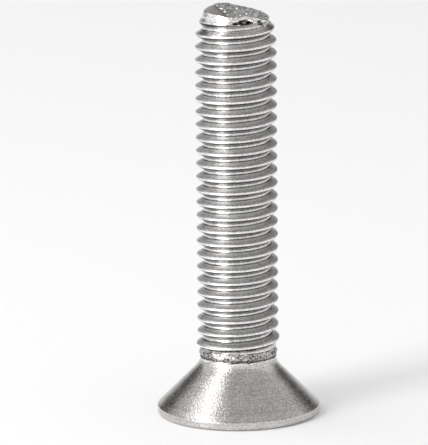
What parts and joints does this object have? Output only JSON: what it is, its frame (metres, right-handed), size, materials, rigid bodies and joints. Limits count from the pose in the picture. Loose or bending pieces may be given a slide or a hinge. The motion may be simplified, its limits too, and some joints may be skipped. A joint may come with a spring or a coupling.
{
  "type": "countersunk socket screw",
  "caption": "Stainless countersunk screw with a flat head, a conical underside, a hexagon socket and a shank threaded from the neck to its sheared tip, standing on its head.",
  "frame": {"origin": "centre of the head's flat face, which the screw stands on", "axes": "+Z along the shank from the head to the tip; +X towards the low side of the sheared tip; the reference picture looks along +Y"},
  "size_m": [0.0098, 0.0098, 0.0251],
  "materials": {
    "steel": "satin stainless steel, brighter on the rolled thread and duller on the cone"
  },
  "bodies": {
    "root": {"screw": "steel"}
  },
  "joints": []
}
